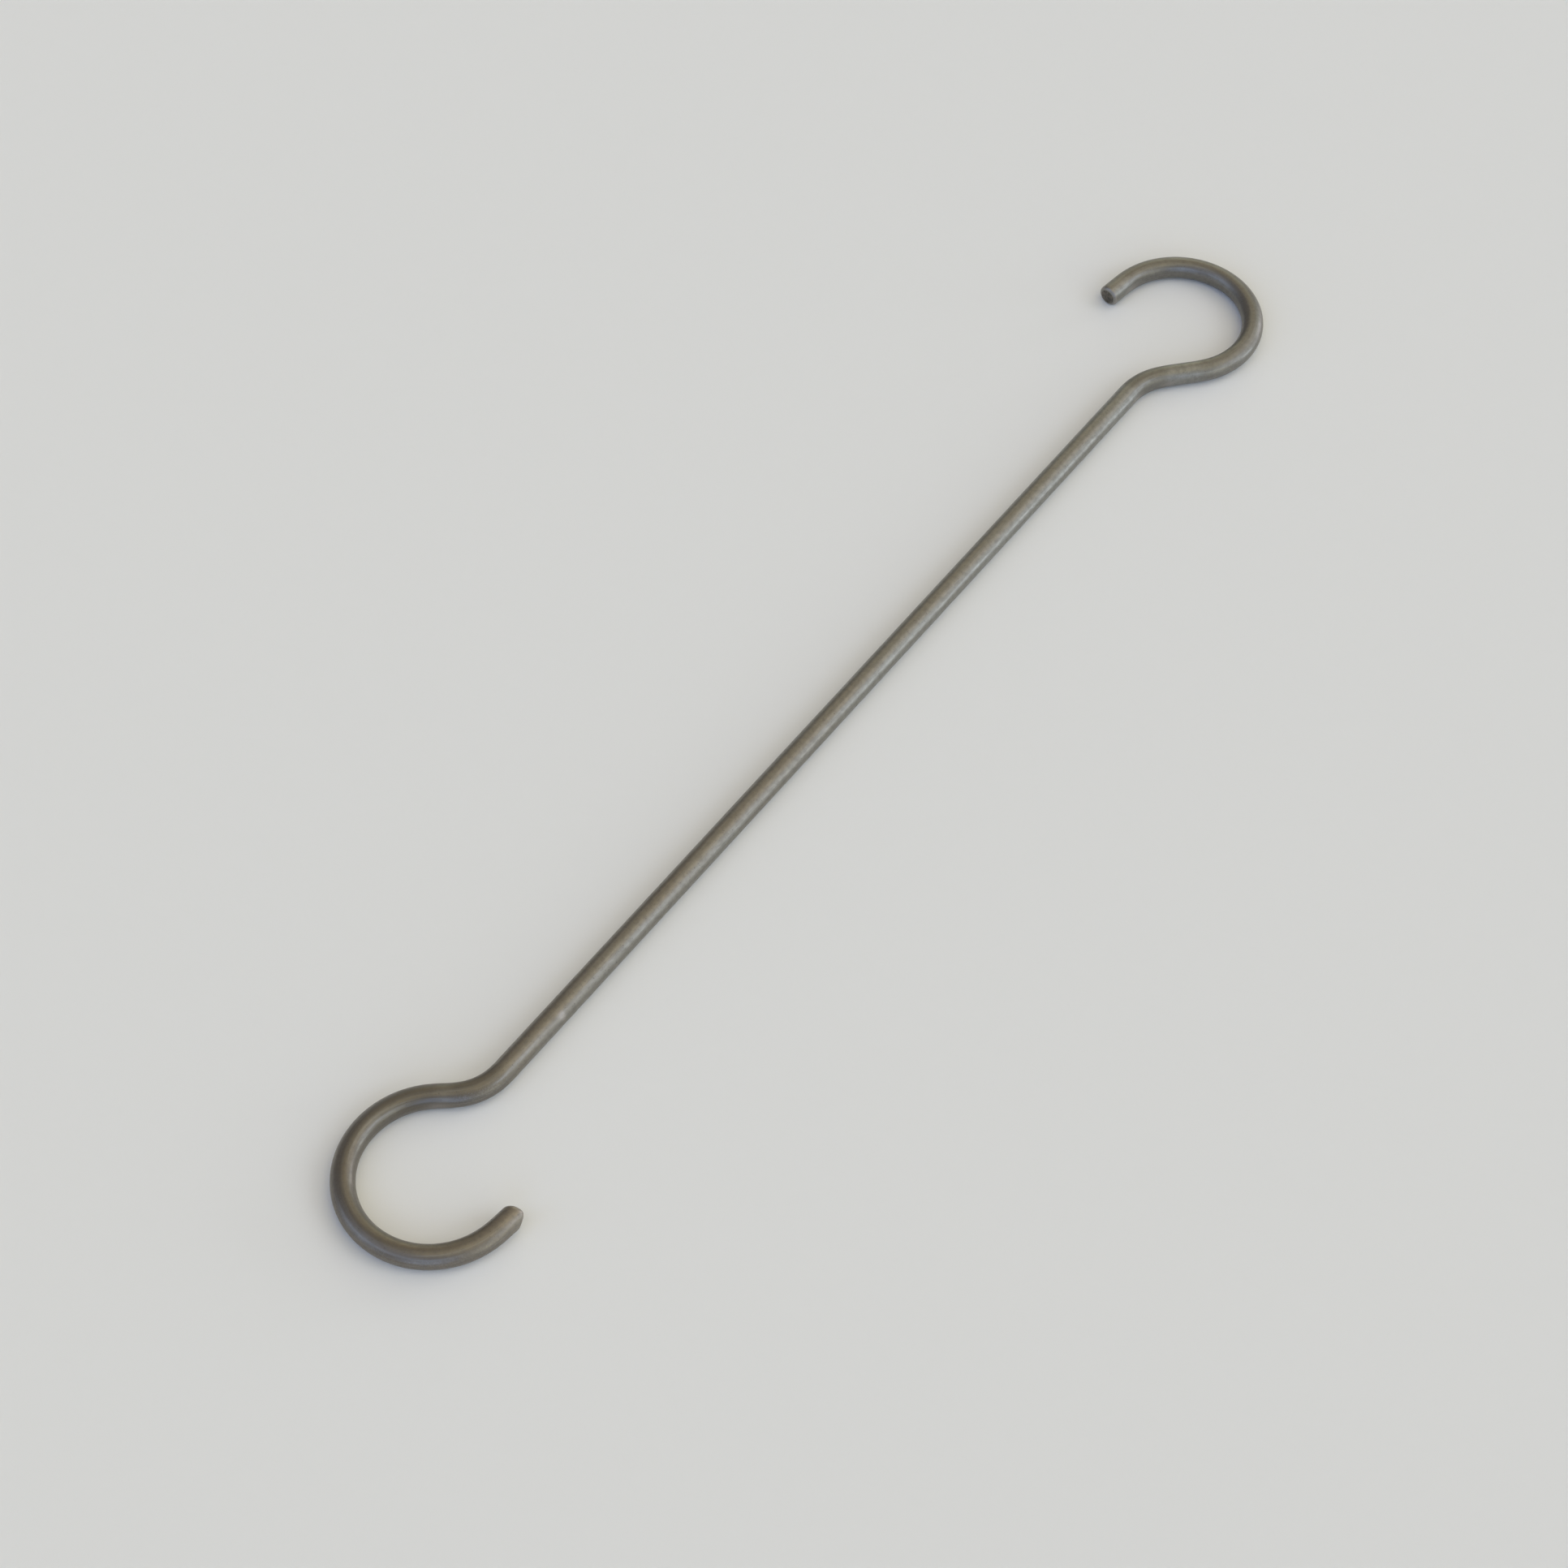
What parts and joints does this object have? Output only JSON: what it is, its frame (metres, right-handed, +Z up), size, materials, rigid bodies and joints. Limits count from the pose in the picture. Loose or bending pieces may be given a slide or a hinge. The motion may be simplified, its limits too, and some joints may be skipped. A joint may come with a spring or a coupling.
{
  "type": "double-ended extension hook",
  "caption": "Straight round steel bar bent to an open hook at each end, the hooks facing opposite ways, that hangs an item below a rail or branch.",
  "frame": {"origin": "middle of the bounding box's bottom face, with the bar lying flat", "axes": "+X along the straight shank, which is the longest side; +Z up, square to the plane of all the bends and along the shortest side; +Y so that the hook at +X has its tip on the +Y side"},
  "size_m": [0.3034, 0.0456, 0.0048],
  "materials": {
    "oxidised_steel": "bare drawn steel with a thin olive-brown oxide film, oiled to a satin"
  },
  "bodies": {
    "root": {"bent_bar": "oxidised_steel"}
  },
  "joints": []
}
